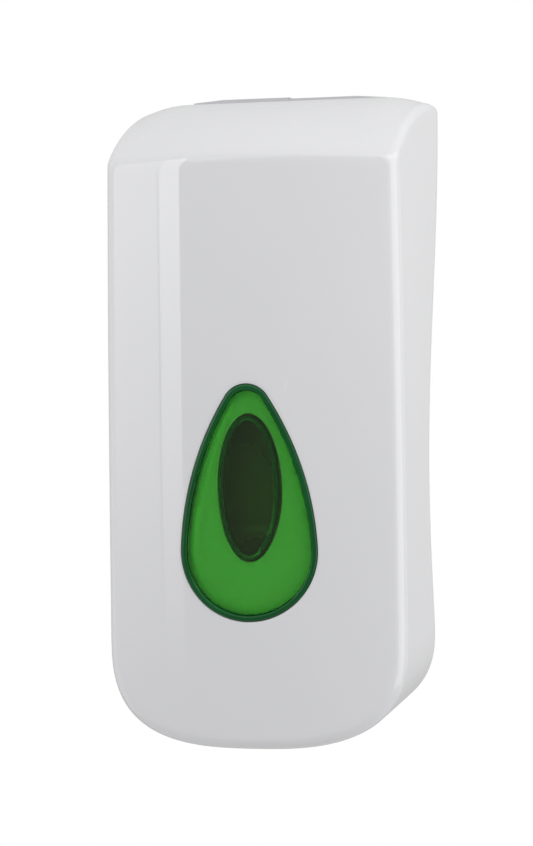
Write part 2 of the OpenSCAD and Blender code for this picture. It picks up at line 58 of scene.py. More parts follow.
# Cover
BOW_R = 191.7            # radius of the bowed front
DEPTH = 112.0            # wall to the middle of the front
BOW_C = BOW_R - DEPTH
WALL = 2.5
EDGE_R = 5.0             # rounded edge round the front
RIDGE_H = 253.0          # crease between front and top
TOP_H = 288.0
SLOPE_LEN = 100.0        # depth over which the top rises
CORNER_H = 48.0          # height of the rounded bottom corners
FOOT_N = 2.95            # power of the bottom corners' curve, at the front and at the rear
REAR_FOOT_N = 2.6
TOP_CORNER_R = 4.0
FRONT_HALF_TOP = 64.9    # half widths
FRONT_HALF_LOW = 66.3
REAR_HALF = 66.95
SIDE_BACK = 10.3         # the bow takes the sides this far behind the middle of the front
ARCH_H = 1.7             # the crease is higher in the middle
ARCH_HALF = 64.0
SHOULDER_X = 46.0        # outside this the top falls away, most in its front half
SHOULDER_FALL = 0.0095
SHOULDER_FALL_FRONT = 0.022
GAP_TOP = 3.0            # rear edge to the wall
GAP_MID = 36.0
GAP_LOW = 20.0
SCOOP_H = 113.0          # height where that gap is widest
NOTCH_HALF = 51.0        # notch in the top for the hinge barrel
NOTCH_Y = -25.5
SLOT_HALF = 14.0         # slot in the bottom for the nozzle
SLOT_Y = -78.0
RIM_R = 0.45             # rounding of the rear rim

# Window
HUB_H = 105.0            # the window's outlines are drawn as radii from here
TEAR_LOW = 55.3
TEAR_LEN = 102.0
TEAR_R = 30.1
TEAR_TIP_R = 10.85
TEAR_SIDE_R = 133.0
OVAL_H = 112.6
OVAL_HALF = 13.0
OVAL_HALF_LEN = 30.8
SEAT_DEPTH = 4.0
HOLE_GROW = 1.0          # room in the cover round the lens's oval ring
HOLE_SHIFT = 0.5
BEAD_W = 2.6             # raised bead round the lens
GROOVE_W = 0.35          # groove between bead and panel
GROOVE_D = 0.9
PANEL_FRONT = 0.52
PANEL_BACK = 2.4
OVAL_BACK = 2.1
EDGE_RAMP = 5.5          # the panel thickens by EDGE_RISE over this width
EDGE_RISE = 0.3
RING_W = 1.65            # wall of the oval ring behind the panel
RING_BACK = 7.5
SNAP_X = 8.4             # snap posts on the oval ring
SNAP_DZ = 22.3
SNAP_R = 0.8

# Hinge and lock
HINGE_Y = -16.0
HINGE_H = 282.0
EAR_R = 4.2
PIN_BORE_R = 2.05
EAR_X = (51.05, 54.95)
BOLT_Y = -92.0
BOLT_H = 14.0
KEY_X = (17.5, 28.5)     # thumb slot under the bolt

# Reservoir
TANK_LOW = 71.0
TANK_HIGH = 256.0
TANK_HALF = 44.0
TANK_BACK = 9.0
TANK_R = 10.0
TANK_T = 1.8             # floor and roof
TANK_SIDE_T = 3.0        # side walls, counted from the plain outside behind the recessed panels
TANK_SHOULDER = 5.0
FILLER_Y = -48.0
NECK_H = 8.6
NECK_R = 17.0
NECK_BORE = 14.8
OUTLET_Y = -30.0
OUTLET_H = 62.6
OUTLET_R = 15.0
OUTLET_BORE = 12.0

# Pump spring
BORE_H = 41.0
COIL_R = 7.6
WIRE_R = 0.6
COIL_TURNS = 8.0
COIL_Y = (-16.7, -45.4)


def bow_y(x, inset=0.0):
    """Y of the bowed front, or of a surface the given distance behind it."""
    r = BOW_R - inset
    return BOW_C - np.sqrt(r * r - x * x)


def rise(depth):
    """Share of the top's rise reached at a depth behind the front."""
    u = np.clip(depth / SLOPE_LEN, 0, 1)
    return (1 - (1 - u) ** 1.8) ** 0.8


def rear_gap(z):
    """Distance of the cover's rear edge from the wall at height z."""
    high = TOP_H - 8
    up = (1 - np.cos(np.pi * (high - z) / (high - SCOOP_H))) / 2
    down = (1 - np.cos(np.pi * (SCOOP_H - z) / SCOOP_H)) / 2
    upper = GAP_TOP + (GAP_MID - GAP_TOP) * up
    lower = GAP_MID - (GAP_MID - GAP_LOW) * down
    return np.where(z > high, GAP_TOP, np.where(z > SCOOP_H, upper, lower))


def smooth(t):
    """Smooth step from 0 to 1."""
    t = np.clip(t, 0, 1)
    return t * t * (3 - 2 * t)


# ---- Columns of the cover: the same set of points along every ring ------------------------

SLOT_STEPS, FOOT_STEPS, SIDE_STEPS, CORNER_STEPS, TOP_OUT_STEPS, TOP_STEPS = 5, 34, 64, 9, 5, 27
ENDS = np.cumsum((0, SLOT_STEPS, FOOT_STEPS, SIDE_STEPS, CORNER_STEPS, TOP_OUT_STEPS, TOP_STEPS))
SLOT, FOOT, SIDE, CORNER, TOP_OUT, TOP = (slice(a, b) for a, b in zip(ENDS, ENDS[1:]))
HALF_COLS = int(ENDS[-1])


def foot_parameters():
    """Evenly spread positions along the superellipse, as shares of its angle."""
    a = np.linspace(0.1, math.pi / 2, 2000)
    x = 65 * np.sin(a) ** (2 / FOOT_N)
    z = CORNER_H * (1 - np.cos(a) ** (2 / FOOT_N))
    run = np.concatenate([[0], np.cumsum(np.hypot(np.diff(x), np.diff(z)))])
    even = np.interp(np.linspace(0, run[-1], FOOT_STEPS), run, a)
    return (even - even[0]) / (even[-1] - even[0])


FOOT_Q = foot_parameters()


def half_width(height, share, low):
    """Half the cover's width at a height; share grows from 0 at the front to 1 at the rear."""
    full = 1 - (height / RIDGE_H) ** 3
    front = FRONT_HALF_TOP + (FRONT_HALF_LOW - FRONT_HALF_TOP) * full
    return front + (REAR_HALF - front) * share - low


def top_height(x, depth, inset):
    """Height of the top at a distance from the middle and a depth behind the front."""
    back = smooth(depth / SLOPE_LEN)
    lift = rise(depth + (bow_y(x) + DEPTH) * back)
    top = RIDGE_H - 0.45 * inset + (TOP_H - RIDGE_H - 0.55 * inset) * lift
    arch = ARCH_H * (1 - (x / ARCH_HALF) ** 2) * (1 - back)
    beyond = np.clip(np.abs(x) - SHOULDER_X, 0, None)
    fall = beyond ** 2 * back * (SHOULDER_FALL + SHOULDER_FALL_FRONT * (1 - back))
    return top + arch - fall


def foot_outline(share, low, power):
    """The rounded bottom, from the middle out to the side."""
    tall = CORNER_H - low
    x_slot = np.linspace(0, SLOT_HALF, SLOT_STEPS)
    fill = 1 - (x_slot / half_width(0.0, share[SLOT], low[SLOT])) ** power[SLOT]
    z_slot = low[SLOT] + tall[SLOT] * (1 - fill ** (1 / power[SLOT]))
    w = half_width(20.0, share[FOOT], low[FOOT])
    n = power[FOOT]
    for _ in range(3):
        start = np.arcsin(((SLOT_HALF + 0.02) / w) ** (n / 2))
        ang = start + (math.pi / 2 - start) * FOOT_Q
        z = low[FOOT] + tall[FOOT] * (1 - np.clip(np.cos(ang), 0, 1) ** (2 / n))
        w = half_width(z, share[FOOT], low[FOOT])
    return [x_slot, w * np.sin(ang) ** (2 / n)], [z_slot, z]


def side_outline(depth, share, low, inset, corner_r):
    """The side, from the bottom corner up to the top one."""
    w = half_width(RIDGE_H, share[SIDE], low[SIDE]) - corner_r
    z_end = top_height(w, depth[SIDE], inset) - corner_r
    t = np.linspace(0, 1, SIDE_STEPS + 1)[1:]
    z = CORNER_H + (z_end - CORNER_H) * t
    return half_width(np.minimum(z, RIDGE_H), share[SIDE], low[SIDE]), z


def top_outline(depth, share, low, inset, corner_r):
    """The rounded top corner and the top, in to the middle."""
    ang = np.linspace(0, math.pi / 2, CORNER_STEPS + 1)[1:]
    w = half_width(RIDGE_H, share[CORNER], low[CORNER])
    x_corner = w - corner_r * (1 - np.cos(ang))
    z_corner = top_height(w - corner_r, depth[CORNER], inset) - corner_r * (1 - np.sin(ang))
    w = half_width(RIDGE_H, share[TOP_OUT], low[TOP_OUT]) - corner_r
    t = np.linspace(0, 1, TOP_OUT_STEPS + 1)[1:]
    x_out = w + (NOTCH_HALF + 0.02 - w) * t
    x_top = np.linspace(NOTCH_HALF, 0, TOP_STEPS)
    return ([x_corner, x_out, x_top],
            [z_corner, top_height(x_out, depth[TOP_OUT], inset), top_height(x_top, depth[TOP], inset)])


def half_outline(depth, edge_inset, inset):
    """Right half of the cover's outline, one depth per column, from the bottom middle round
    by the side to the top middle. Returns x and z."""
    share = np.clip(depth / (DEPTH - SIDE_BACK - GAP_TOP), 0, 1)
    power = FOOT_N + (REAR_FOOT_N - FOOT_N) * share
    low = inset + edge_inset
    corner_r = max(TOP_CORNER_R - inset, 1.0)
    foot_x, foot_z = foot_outline(share, low, power)
    side_x, side_z = side_outline(depth, share, low, inset, corner_r)
    top_x, top_z = top_outline(depth, share, low, inset, corner_r)
    return np.concatenate(foot_x + [side_x] + top_x), np.concatenate(foot_z + [side_z] + top_z)


def mirrored(half):
    """Full ring from its right half: the first and last columns lie on the middle plane."""
    other = half[-2:0:-1] * np.array([-1.0, 1.0, 1.0])
    return np.concatenate([half, other])


def half_ring(depth, edge_r, inset):
    """Right half of a ring at one depth per column."""
    depth = np.broadcast_to(np.asarray(depth, float), (HALF_COLS,)).copy()
    d = np.clip(depth, 0, edge_r)
    edge = edge_r - np.sqrt(np.clip(edge_r ** 2 - (edge_r - d) ** 2, 0, None))
    x, z = half_outline(depth, edge, inset)
    return np.stack([x, bow_y(x, inset) + depth, z], 1)


def end_depth(edge_r, inset):
    """Depth of the rear edge for each column, found by following the surface back."""
    depth = np.full(HALF_COLS, 90.0)
    for _ in range(12):
        ring = half_ring(depth, edge_r, inset)
        target = -rear_gap(ring[:, 2])
        target[TOP] = NOTCH_Y
        target[SLOT] = SLOT_Y
        depth = depth + 0.8 * (target - ring[:, 1])
    return depth


# ---- Window outlines, as radii seen from a hub inside the window ---------------------------


def tear_points(inset):
    """Dense outline of the teardrop, moved inwards."""
    low = TEAR_LOW + TEAR_R
    high = TEAR_LOW + TEAR_LEN - TEAR_TIP_R
    span = high - low
    a = TEAR_SIDE_R - TEAR_R
    b = TEAR_SIDE_R - TEAR_TIP_R
    cz = (a * a - b * b + span * span) / (2 * span)
    cx = math.sqrt(a * a - cz * cz)
    a0 = math.asin(-cz / a)
    a1 = math.asin((span - cz) / b)

    def arc(r, x0, z0, start, end):
        t = np.linspace(start, end, 400)
        return np.stack([x0 + r * np.cos(t), z0 + r * np.sin(t)], 1)

    right = np.concatenate([
        arc(TEAR_R - inset, 0, low, -math.pi / 2, a0),
        arc(TEAR_SIDE_R - inset, -cx, low + cz, a0, a1),
        arc(TEAR_TIP_R - inset, 0, high, a1, math.pi / 2),
    ])
    left = right[::-1] * np.array([-1.0, 1.0])
    return np.concatenate([right, left])


def polar(points, angles):
    """Radius of an outline in each direction from the hub."""
    dx = points[:, 0]
    dz = points[:, 1] - HUB_H
    ang = np.arctan2(dx, -dz) % (2 * math.pi)
    order = np.argsort(ang)
    return np.interp(angles % (2 * math.pi), ang[order], np.hypot(dx, dz)[order], period=2 * math.pi)


def oval_radius(angles, grow, snap_r):
    """Radius of the oval with its four round snap pockets."""
    t = np.linspace(0, 2 * math.pi, 1440)
    pts = np.stack([(OVAL_HALF + grow) * np.cos(t), OVAL_H + (OVAL_HALF_LEN + grow) * np.sin(t)], 1)
    radius = polar(pts, angles)
    if snap_r <= 0:
        return radius
    ux, uz = np.sin(angles), -np.cos(angles)
    for sx in (-1, 1):
        for sz in (-1, 1):
            cx, cz = sx * SNAP_X, OVAL_H + sz * SNAP_DZ - HUB_H
            along = cx * ux + cz * uz
            off = cx * cx + cz * cz - along ** 2
            hit = (off < snap_r ** 2) & (along > 0)
            far = along + np.sqrt(np.clip(snap_r ** 2 - off, 0, None))
            radius = np.where(hit, np.maximum(radius, far), radius)
    return radius


def hub_ring(radius, angles, depth):
    """Ring of points at the given radii, at a depth behind the bowed front."""
    x = radius * np.sin(angles)
    z = HUB_H - radius * np.cos(angles)
    return np.stack([x, bow_y(x) + depth, z], 1)


# ---- Mesh helpers --------------------------------------------------------------------------


def link(name, data):
    """New object in the scene for a mesh, curve, light or camera."""
    obj = bpy.data.objects.new(name, data)
    bpy.context.scene.collection.objects.link(obj)
    return obj


def make_object(name, verts, faces, smooth_angle=35.0):
    """Mesh object from millimetre points, with heights counted from the cover's bottom edge."""
    pts = (np.asarray(verts, float) - np.array([0, 0, SCREW_H])) * MM
    mesh = bpy.data.meshes.new(name)
    mesh.from_pydata([tuple(p) for p in pts], [], faces)
    mesh.validate()
    bm = bmesh.new()
    bm.from_mesh(mesh)
    bmesh.ops.remove_doubles(bm, verts=bm.verts, dist=1e-7)
    bmesh.ops.recalc_face_normals(bm, faces=bm.faces)
    bm.to_mesh(mesh)
    bm.free()
    obj = link(name, mesh)
    smooth_by_angle(obj, smooth_angle)
    return obj


def smooth_by_angle(obj, degrees):
    mesh = obj.data
    mesh.polygons.foreach_set("use_smooth", [True] * len(mesh.polygons))
    mesh.set_sharp_from_angle(angle=math.radians(degrees))


def ring_faces(n_rings, n_cols, closed=False):
    """Quads between neighbouring rings, and between the last and the first when closed."""
    faces = []
    last = n_rings if closed else n_rings - 1
    for i in range(last):
        p, q = i * n_cols, ((i + 1) % n_rings) * n_cols
        for j in range(n_cols):
            k = (j + 1) % n_cols
            faces.append((p + j, p + k, q + k, q + j))
    return faces


def band(name, rings, smooth_angle):
    """Closed band whose last ring joins its first."""
    faces = ring_faces(len(rings), len(rings[0]), closed=True)
    return make_object(name, np.concatenate(rings), faces, smooth_angle)


def evaluated_mesh(obj):
    """The object's mesh with its modifiers, or its curve's bevel, applied."""
    bpy.context.view_layer.update()
    return bpy.data.meshes.new_from_object(obj.evaluated_get(bpy.context.evaluated_depsgraph_get()))


def mesh_of_curve(curve):
    temp = link("temporary", curve)
    mesh = evaluated_mesh(temp)
    bpy.data.objects.remove(temp)
    return mesh


def cut(obj, cutter):
    mod = obj.modifiers.new("cut", "BOOLEAN")
    mod.operation = "DIFFERENCE"
    mod.object = cutter
    mod.solver = "EXACT"
    obj.data = evaluated_mesh(obj)
    obj.modifiers.clear()
    bpy.data.objects.remove(cutter)


def box_mesh(x0, x1, y0, y1, z0, z1):
    verts = [(x, y, z) for x in (x0, x1) for y in (y0, y1) for z in (z0, z1)]
    faces = [(0, 1, 3, 2), (4, 6, 7, 5), (0, 4, 5, 1), (2, 3, 7, 6), (0, 2, 6, 4), (1, 5, 7, 3)]
    return verts, faces


def side_plate(name, outline, holes, x0, x1, bevel):
    """Flat plate across the width from x0 to x1, given as [y, z] outline and round holes,
    with its edges rounded."""
    curve = bpy.data.curves.new(name, "CURVE")
    curve.dimensions = "2D"
    curve.fill_mode = "BOTH"
    curve.extrude = ((x1 - x0) / 2 - bevel) * MM
    curve.bevel_depth = bevel * MM
    curve.bevel_resolution = 2
    loops = [outline]
    for cy, cz, r in holes:
        t = np.linspace(0, 2 * math.pi, 49)[:-1]
        loops.append([(cy + (r + bevel) * math.cos(a), cz + (r + bevel) * math.sin(a)) for a in t])
    for loop in loops:
        spline = curve.splines.new("POLY")
        spline.points.add(len(loop) - 1)
        for p, (y, z) in zip(spline.points, loop):
            p.co = (y * MM, (z - SCREW_H) * MM, 0, 1)
        spline.use_cyclic_u = True
    mesh = mesh_of_curve(curve)
    mesh.transform(Matrix(((0, 0, 1, (x0 + x1) / 2 * MM), (1, 0, 0, 0), (0, 1, 0, 0), (0, 0, 0, 1))))
    return link(name, mesh)


def join(name, parts):
    bm = bmesh.new()
    for part in parts:
        bm.from_mesh(part.data)
    mesh = bpy.data.meshes.new(name)
    bmesh.ops.recalc_face_normals(bm, faces=bm.faces)
    bm.to_mesh(mesh)
    bm.free()
    for part in parts:
        bpy.data.objects.remove(part)
    obj = link(name, mesh)
    smooth_by_angle(obj, 40)
    return obj


# ---- Cover ---------------------------------------------------------------------------------


def seat_rings(angles, oval):
    """Edge of the oval hole, floor of the window seat and the seat's wall, outwards."""
    tear = polar(tear_points(-0.15), angles)
    tear_in = polar(tear_points(0.25), angles)
    rings = [hub_ring(oval, angles, SEAT_DEPTH + 0.9),
             hub_ring(oval + 0.1, angles, SEAT_DEPTH + 0.25),
             hub_ring(oval + 0.35, angles, SEAT_DEPTH)]
    for s in np.linspace(0.12, 0.94, 8):
        rings.append(hub_ring(oval * (1 - s) + tear_in * s, angles, SEAT_DEPTH))
    for grow, depth in ((-0.05, SEAT_DEPTH - 0.02), (0, SEAT_DEPTH - 0.3), (0, SEAT_DEPTH / 2),
                        (0, 0.35), (0.1, 0.1), (0.35, 0.0)):
        rings.append(hub_ring(tear + grow, angles, depth))
    return rings


def front_rings(start, end):
    """Bowed front, from the window out to the rounded edge."""
    rings = []
    for s in np.linspace(0, 1, 30)[1:-1] ** 1.15:
        p = start * (1 - s) + end * s
        p[:, 1] = bow_y(p[:, 0])
        rings.append(p)
    return rings


def outside_rings(end):
    """Rounded edge, then the sides, top and foot together, backwards."""
    rings = []
    for theta in np.linspace(0, math.pi / 2, 11):
        rings.append(mirrored(half_ring(EDGE_R * (1 - math.cos(theta)), EDGE_R, 0.0)))
    for s in np.linspace(0, 1, 36)[1:]:
        depth = EDGE_R + (end - RIM_R - EDGE_R) * s ** 1.25
        rings.append(mirrored(half_ring(depth, EDGE_R, 0.0)))
    return rings


def rim_rings(outer, inner):
    """Rounded rear rim."""
    rings = []
    for s, back in ((0.05, 0.13), (0.17, 0.0), (0.83, 0.0), (0.95, 0.13)):
        p = outer * (1 - s) + inner * s
        p[:, 1] -= back
        rings.append(mirrored(p))
    return rings


def inside_rings(end, edge_r):
    """Inside of the shell, forwards."""
    rings = []
    for s in np.linspace(1, 0, 18)[:-1]:
        depth = edge_r + (end - RIM_R - edge_r) * s
        rings.append(mirrored(half_ring(depth, edge_r, WALL)))
    for theta in np.linspace(math.pi / 2, 0, 5):
        rings.append(mirrored(half_ring(edge_r * (1 - math.cos(theta)), edge_r, WALL)))
    return rings


def seat_back_rings(angles, inside, oval):
    """Inside of the front and the back of the window seat, inwards to the oval hole."""
    rings = []
    bump = hub_ring(polar(tear_points(-2.4), angles), angles, WALL)
    for s in np.linspace(0, 1, 12)[1:]:
        p = inside * (1 - s) + bump * s
        p[:, 1] = bow_y(p[:, 0], WALL)
        rings.append(p)
    back = SEAT_DEPTH + WALL
    edge = polar(tear_points(-2.0), angles)
    rings.append(hub_ring(polar(tear_points(-2.3), angles), angles, back - 0.2))
    rings.append(hub_ring(edge, angles, back))
    for s in (0.3, 0.6, 0.9):
        rings.append(hub_ring(edge * (1 - s) + (oval + 0.3) * s, angles, back))
    rings.append(hub_ring(oval + 0.25, angles, back))
    rings.append(hub_ring(oval, angles, back - 0.3))
    return rings


def cover_rings():
    """Closed band of rings, once round the wall of the shell."""
    inner_r = EDGE_R - WALL
    outer_end, inner_end = end_depth(EDGE_R, 0.0), end_depth(inner_r, WALL)
    first = mirrored(half_ring(0.0, EDGE_R, 0.0))
    inside = mirrored(half_ring(0.0, inner_r, WALL))
    angles = np.arctan2(first[:, 0], HUB_H - first[:, 2])
    oval = oval_radius(angles, HOLE_GROW, 0) + HOLE_SHIFT * np.sin(angles)
    seat = seat_rings(angles, oval)
    return (seat + front_rings(seat[-1], first) + outside_rings(outer_end)
            + rim_rings(half_ring(outer_end, EDGE_R, 0.0), half_ring(inner_end, inner_r, WALL))
            + inside_rings(inner_end, inner_r) + seat_back_rings(angles, inside, oval))


def build_cover():
    shell = band("cover_shell", cover_rings(), 32)
    cut(shell, make_object("slot_cutter", *box_mesh(*KEY_X, BOLT_Y - 2.5, BOLT_Y + 2.5, -5, 8)))
    smooth_by_angle(shell, 32)
    return shell


def arc_points(cy, cz, r, start, end, steps):
    t = np.radians(np.linspace(start, end, steps))
    return [(cy + r * math.cos(a), cz + r * math.sin(a)) for a in t]


def build_ears():
    """The two hinge ears and their gussets inside the cover."""
    parts = []
    for side in (-1, 1):
        outline = arc_points(HINGE_Y, HINGE_H, EAR_R, -120, 95, 22)
        outline += [(HINGE_Y - EAR_R, HINGE_H + 4.0), (-34, HINGE_H + 0.7),
                    (-34, HINGE_H - 2.2), (-22, HINGE_H - 2.5)]
        x0, x1 = sorted(side * x for x in EAR_X)
        parts.append(side_plate("ear", outline[::-1], [(HINGE_Y, HINGE_H, PIN_BORE_R)], x0, x1, 0.3))
    return join("cover_hinge_ears", parts)


def build_guides():
    """The two bored guides of the lock bolt on the bottom of the cover."""
    parts = []
    for x0, low in ((13.5, 1.4), (31.0, 3.6)):
        outline = [(BOLT_Y + 5, low), (BOLT_Y + 5, BOLT_H + 1.5)]
        outline += arc_points(BOLT_Y, BOLT_H, 5, 15, 165, 16)
        outline += [(BOLT_Y - 5, BOLT_H + 1.5), (BOLT_Y - 5, low)]
        parts.append(side_plate("guide", outline, [(BOLT_Y, BOLT_H, PIN_BORE_R)], x0, x0 + 3, 0.25))
    return join("cover_lock_guides", parts)


# ---- Window lens ---------------------------------------------------------------------------


LENS_ANGLES = np.linspace(0, 2 * math.pi, 361)[:-1]


def lens_ring(radius, depth):
    return hub_ring(radius, LENS_ANGLES, depth)


def close_with_pole(verts, faces, ring_start, depth):
    """Fan of triangles from a ring to the hub at the given depth."""
    n = len(LENS_ANGLES)
    centre = len(verts)
    for j in range(n):
        faces.append((ring_start + j, ring_start + (j + 1) % n, centre))
    return np.concatenate([verts, [[0, bow_y(0.0) + depth, HUB_H]]])


def build_panel():
    """Clear panel of the lens, thicker towards its edge and inside the oval."""
    edge = polar(tear_points(BEAD_W + GROOVE_W), LENS_ANGLES)
    ramp = edge - 0.08
    oval = oval_radius(LENS_ANGLES, -RING_W - 0.05, 0)
    rings = [lens_ring(edge * s, PANEL_FRONT) for s in np.linspace(0, 1, 20)[1:-1]]
    thick = PANEL_BACK + EDGE_RISE
    rings += [lens_ring(edge - 0.08, PANEL_FRONT), lens_ring(edge, PANEL_FRONT + 0.08),
              lens_ring(edge, thick - 0.05), lens_ring(edge - 0.04, thick)]
    for s in np.linspace(0, 1, 9)[1:]:
        rings.append(lens_ring(ramp - EDGE_RAMP * s, PANEL_BACK + EDGE_RISE * float(smooth(1 - s))))
    for s in np.linspace(0, 1, 8)[1:]:
        rings.append(lens_ring((ramp - EDGE_RAMP) * (1 - s) + oval * s, PANEL_BACK))
    rings += [lens_ring(oval - 0.08, PANEL_BACK + 0.05), lens_ring(oval - 0.1, OVAL_BACK + 0.1)]
    rings += [lens_ring((oval - 0.2) * s, OVAL_BACK) for s in np.linspace(1, 0, 7)[1:-1]]
    verts = np.concatenate(rings)
    faces = ring_faces(len(rings), len(LENS_ANGLES))
    last_ring = (len(rings) - 1) * len(LENS_ANGLES)
    verts = close_with_pole(verts, faces, 0, PANEL_FRONT)
    verts = close_with_pole(verts, faces, last_ring, OVAL_BACK)
    return make_object("window_panel", verts, faces, 38)


def build_bead():
    """Raised bead round the lens, with its outer skirt down to the seat."""
    groove_x, groove_y = BEAD_W + GROOVE_W - 0.03, PANEL_FRONT + GROOVE_D
    skirt = [(BEAD_W + 0.2, SEAT_DEPTH - 0.1), (BEAD_W - 0.1, SEAT_DEPTH - 0.08), (0.3, SEAT_DEPTH - 0.06),
             (0.12, SEAT_DEPTH - 0.12), (0.06, SEAT_DEPTH - 0.3), (0.05, 1.2), (0.06, 0.25)]
    crown = [(0.14, -0.08), (0.32, -0.33), (0.62, -0.5), (1.0, -0.58), (1.4, -0.59), (1.8, -0.53),
             (2.12, -0.4), (2.36, -0.18), (2.5, 0.1), (2.57, 0.45), (BEAD_W, 0.9)]
    groove = [(BEAD_W + 0.04, groove_y - 0.1), (groove_x, groove_y), (groove_x, SEAT_DEPTH - 0.3)]
    section = skirt + crown + groove
    rings = [lens_ring(polar(tear_points(inset), LENS_ANGLES), depth) for inset, depth in section]
    return band("window_rim", rings, 50)


def build_oval_ring():
    """Oval ring with four snap posts on the back of the lens."""
    out = oval_radius(LENS_ANGLES, 0.0, SNAP_R)
    inner = oval_radius(LENS_ANGLES, -RING_W, 0)
    section = [(inner, PANEL_BACK + 0.3), (inner + 0.03, RING_BACK - 0.3), (inner + 0.3, RING_BACK),
               (out - 0.3, RING_BACK), (out - 0.03, RING_BACK - 0.3), (out, PANEL_BACK + 0.5),
               (out + 0.1, PANEL_BACK + 0.25), (out + 0.1, PANEL_BACK + 0.12),
               (inner + 0.1, PANEL_BACK + 0.12)]
    return band("window_spigot", [lens_ring(radius, depth) for radius, depth in section], 40)


# ---- Reservoir -----------------------------------------------------------------------------


def tank_front(h, t):
    """How far the tank's wall lies forward at height h, on its outside (t = 0) or inside."""
    heights = [TANK_LOW, 71.6, 73, 76, 80, 86, 232, 238, 243, 247, 252, 254.8, TANK_HIGH]
    forward = [77, 79.6, 82.6, 86.3, 88.9, 90, 90, 89.2, 86.6, 83.2, 77.4, 73.2, 67.5]
    return float(np.interp(h, heights, forward)) - t


def tank_ring(h, t):
    """Rounded rectangle of the tank at height h, from its front right corner round by the back."""
    low, high = TANK_LOW + t, TANK_HIGH - t
    up = max(0.0, h - (high - TANK_SHOULDER), (low + TANK_SHOULDER) - h)
    inset = TANK_SHOULDER - math.sqrt(max(0.0, TANK_SHOULDER ** 2 - up ** 2))
    half = TANK_HALF - t - inset
    back, front = TANK_BACK + t + inset * 0.5, tank_front(h, t)
    r = TANK_R - t
    turn = np.linspace(0, math.pi / 2, 9)
    side = np.concatenate([np.linspace(0, 0.484, 11)[1:], [0.5], np.linspace(0.516, 1, 11)[:-1]])
    corners = ((half - r, r - front), (half - r, -back - r), (r - half, -back - r), (r - half, r - front))
    points = []
    for k, (cx, cy) in enumerate(corners):
        a = (k - 1) * math.pi / 2 + turn
        arc = np.column_stack([cx + r * np.cos(a), cy + r * np.sin(a)])
        nx, ny = corners[(k + 1) % 4]
        following = np.array([nx + r * math.cos(a[-1]), ny + r * math.sin(a[-1])])
        points += [arc, arc[-1] + (following - arc[-1]) * side[:, None]]
    flat = np.concatenate(points)
    return np.column_stack([flat, np.full(len(flat), h)])


def tank_detail(p):
    """Recessed panels and the moulding's parting line on one ring of the outside."""
    x, y, h = p[:, 0], p[:, 1], p[:, 2]
    tall = smooth((h - 92) / 4) * smooth((226 - h) / 4)
    on_front = (y < -89.5) * smooth((33 - np.abs(x)) / 3)
    side = np.abs(x) > TANK_HALF - 0.5
    on_side = side * smooth((-22 - y) / 3) * smooth((y + 78) / 3)
    p[:, 1] += 1.1 * on_front * tall
    p[:, 0] -= np.sign(x) * 0.9 * on_side * tall
    middle = (y.min() + y.max()) / 2
    seam = side * (np.abs(y - middle) < 0.3)
    p[:, 0] += np.sign(x) * 0.4 * seam
    return p


def tank_circle(ring, centre_y, r, h):
    """Circle with its points in the same directions as those of a ring."""
    mid = (ring[:, 1].min() + ring[:, 1].max()) / 2
    a = np.arctan2(ring[:, 1] - mid, ring[:, 0])
    return np.column_stack([r * np.cos(a), centre_y + r * np.sin(a), np.full(len(a), h)])


def tank_heights():
    """Heights of the tank's rings, closer together at the shoulders and at the panels' ends."""
    cap = TANK_HIGH - TANK_SHOULDER * (1 - np.cos(np.linspace(0, math.pi / 2, 9)))
    foot = TANK_LOW + TANK_SHOULDER * (1 - np.cos(np.linspace(math.pi / 2, 0, 9)))
    wall = np.concatenate([np.arange(cap[-1] - 2, 231, -3.0), np.linspace(230, 221, 10),
                           np.arange(212, 104, -9.0), np.linspace(97, 88, 10), [84, 80]])
    return np.concatenate([cap, wall, foot])


def neck_rings(top):
    """Filler neck, from its bore over the lip and down to the shoulder."""
    lip = TANK_HIGH + NECK_H
    section = [(NECK_BORE, lip - 0.3), (NECK_BORE + 0.3, lip), (NECK_R - 0.3, lip), (NECK_R, lip - 0.3),
               (NECK_R, TANK_HIGH + 1.6), (NECK_R + 0.3, TANK_HIGH + 0.5), (NECK_R + 1.0, TANK_HIGH + 0.1),
               (NECK_R + 1.8, TANK_HIGH)]
    rings = [tank_circle(top, FILLER_Y, r, h) for r, h in section]
    return rings + [rings[-1] * (1 - s) + top * s for s in (0.25, 0.5, 0.75)]


def outlet_rings(low):
    """Floor and outlet neck, down its outside and up its bore."""
    start = tank_circle(low, OUTLET_Y, OUTLET_R + 1.4, TANK_LOW)
    section = [(OUTLET_R + 0.4, TANK_LOW - 0.3), (OUTLET_R, TANK_LOW - 1.2), (OUTLET_R, OUTLET_H + 0.3),
               (OUTLET_R - 0.3, OUTLET_H), (OUTLET_BORE + 0.3, OUTLET_H), (OUTLET_BORE, OUTLET_H + 0.3),
               (OUTLET_BORE, TANK_LOW + TANK_T)]
    floor = [low * (1 - s) + start * s for s in (0.3, 0.6, 1.0)]
    return floor + [tank_circle(low, OUTLET_Y, r, h) for r, h in section]


def tank_lugs():
    """Hanging hooks on the back and bayonet lugs on the filler neck."""
    parts = []
    hook = [(-3.6, 229.5), (-3.6, 237), (-9.6, 237), (-9.6, 234), (-5.6, 234), (-5.6, 229.5)]
    lug = [(FILLER_Y + dy, h) for dy, h in ((-4, 259.8), (4, 259.8), (4, 261.6), (-4, 261.6))]
    for side in (-1, 1):
        parts.append(side_plate("tank_lug", hook, [], *sorted((side * 19, side * 29)), 0.3))
        parts.append(side_plate("neck_lug", lug, [], *sorted((side * 14.9, side * 17.7)), 0.25))
    return parts


